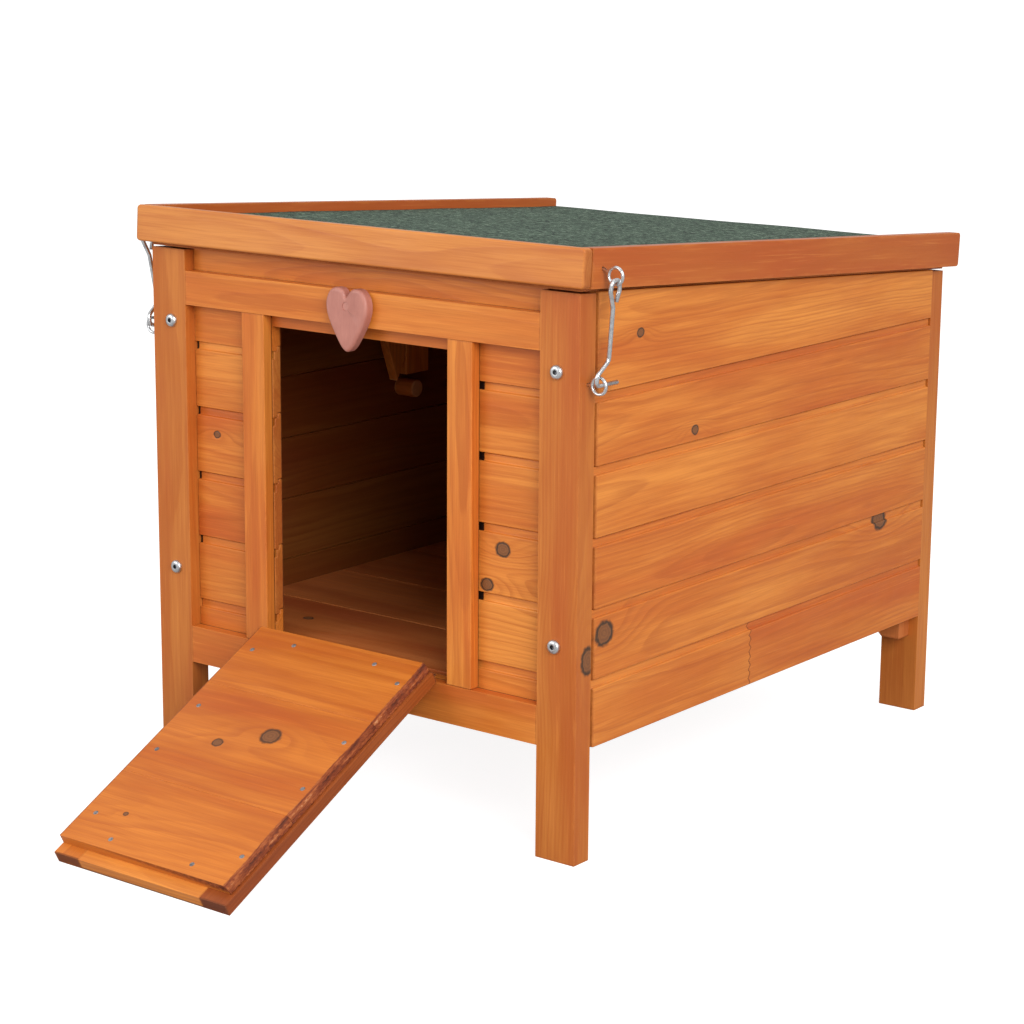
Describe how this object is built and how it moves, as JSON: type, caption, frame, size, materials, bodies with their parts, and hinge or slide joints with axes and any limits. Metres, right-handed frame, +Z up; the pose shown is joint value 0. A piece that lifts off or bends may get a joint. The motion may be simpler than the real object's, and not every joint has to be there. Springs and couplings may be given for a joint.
{
  "type": "rabbit hutch",
  "caption": "Raised wooden rabbit hutch with a felted lean-to roof that lifts on rear hinges, a ramp that folds up as its door, a heart-shaped turn button and wire hooks",
  "frame": {"origin": "middle of the whole footprint on the ground, ramp lowered", "axes": "+Z up, ramp and front towards -Y, +X to the right seen from the front"},
  "size_m": [0.4582, 0.7366, 0.4379],
  "materials": {
    "varnished_pine": "orange-brown translucent varnish over knotty pine",
    "post_pine": "orange-brown translucent varnish, grain upright",
    "inner_pine": "thinly stained rough pine",
    "ramp_pine": "orange-brown varnish over sawn pine",
    "roof_felt": "dark green bitumen felt with mineral speckle",
    "heart_paint": "dusty pink paint on wood",
    "zinc_wire": "bright zinc plated wire",
    "zinc_hinge": "zinc plated pressed steel",
    "bolt_steel": "plated steel, satin",
    "nail_steel": "dull steel"
  },
  "bodies": {
    "hut": {"post_front_left": "post_pine", "post_front_right": "post_pine", "post_rear_left": "post_pine", "post_rear_right": "post_pine", "front_top_rail": "varnished_pine", "front_bottom_rail": "varnished_pine", "door_stile_left": "varnished_pine", "door_stile_right": "varnished_pine", "front_bottom_board": "varnished_pine", "front_header_board": "varnished_pine", "front_head_board": "varnished_pine", "front_left_boards": "varnished_pine", "front_right_boards": "varnished_pine", "left_side_boards": "varnished_pine", "right_side_boards": "varnished_pine", "rear_boards": "varnished_pine", "rear_top_rail": "varnished_pine", "rear_bottom_rail": "varnished_pine", "left_corner_cleats": "inner_pine", "right_corner_cleats": "inner_pine", "floor_boards": "inner_pine", "floor_bearers": "inner_pine", "prop_peg": "inner_pine", "post_bolts": "bolt_steel", "latch_eye_left": "zinc_wire", "latch_eye_right": "zinc_wire", "roof_hinge_lower_leaves": "zinc_hinge", "roof_hinge_lower_screws": "zinc_hinge", "ramp_hinge_sill_leaves": "zinc_hinge", "ramp_hinge_sill_screws": "zinc_hinge", "heart_pivot_screw": "zinc_hinge", "heart_washer": "zinc_hinge"},
    "roof": {"front_fascia": "varnished_pine", "side_trim_left": "varnished_pine", "side_trim_right": "varnished_pine", "roof_frame": "inner_pine", "roof_deck": "inner_pine", "roof_felt": "roof_felt", "roof_hinge_upper_leaves": "zinc_hinge", "roof_hinge_pins": "zinc_hinge", "roof_hinge_upper_screws": "zinc_hinge", "hook_eye_left": "zinc_wire", "hook_eye_right": "zinc_wire", "prop_pivot_screw": "zinc_hinge"},
    "ramp": {"ramp_stile_left": "ramp_pine", "ramp_stile_right": "ramp_pine", "ramp_hinge_rail": "ramp_pine", "ramp_free_rail": "ramp_pine", "ramp_board_hinge_end": "ramp_pine", "ramp_board_middle": "ramp_pine", "ramp_board_free_end": "ramp_pine", "ramp_nails": "nail_steel", "ramp_hinge_door_leaves": "zinc_hinge", "ramp_hinge_pins": "zinc_hinge", "ramp_hinge_door_screws": "zinc_hinge"},
    "hook_left_body": {"hook_left": "zinc_wire"},
    "hook_right_body": {"hook_right": "zinc_wire"},
    "prop": {"prop_arm": "inner_pine"},
    "heart": {"heart_button": "heart_paint"}
  },
  "joints": [
    {"name": "roof_hinge", "type": "hinge", "parent": "hut", "child": "roof", "pos_m": [0, 0.3595, 0.37374], "axis": [-1, 0, 0], "range_deg": [0, 100]},
    {"name": "ramp_hinge", "type": "hinge", "parent": "hut", "child": "ramp", "pos_m": [0, -0.1454, 0.1132], "axis": [-1, 0, 0], "range_deg": [0, 117.4]},
    {"name": "heart_turn", "type": "hinge", "parent": "hut", "child": "heart", "pos_m": [0, -0.1449, 0.3795], "axis": [0, 1, 0], "range_deg": [-135, 135]},
    {"name": "hook_left_swing", "type": "hinge", "parent": "roof", "child": "hook_left_body", "pos_m": [-0.2221, -0.132, 0.41263], "axis": [-1, 0, 0], "range_deg": [0, 110]},
    {"name": "hook_right_swing", "type": "hinge", "parent": "roof", "child": "hook_right_body", "pos_m": [0.2221, -0.132, 0.41263], "axis": [-1, 0, 0], "range_deg": [0, 110]},
    {"name": "prop_swing", "type": "hinge", "parent": "roof", "child": "prop", "pos_m": [-0.184, 0.1291, 0.39425], "axis": [1, 0, 0], "range_deg": [-40, 40]}
  ]
}
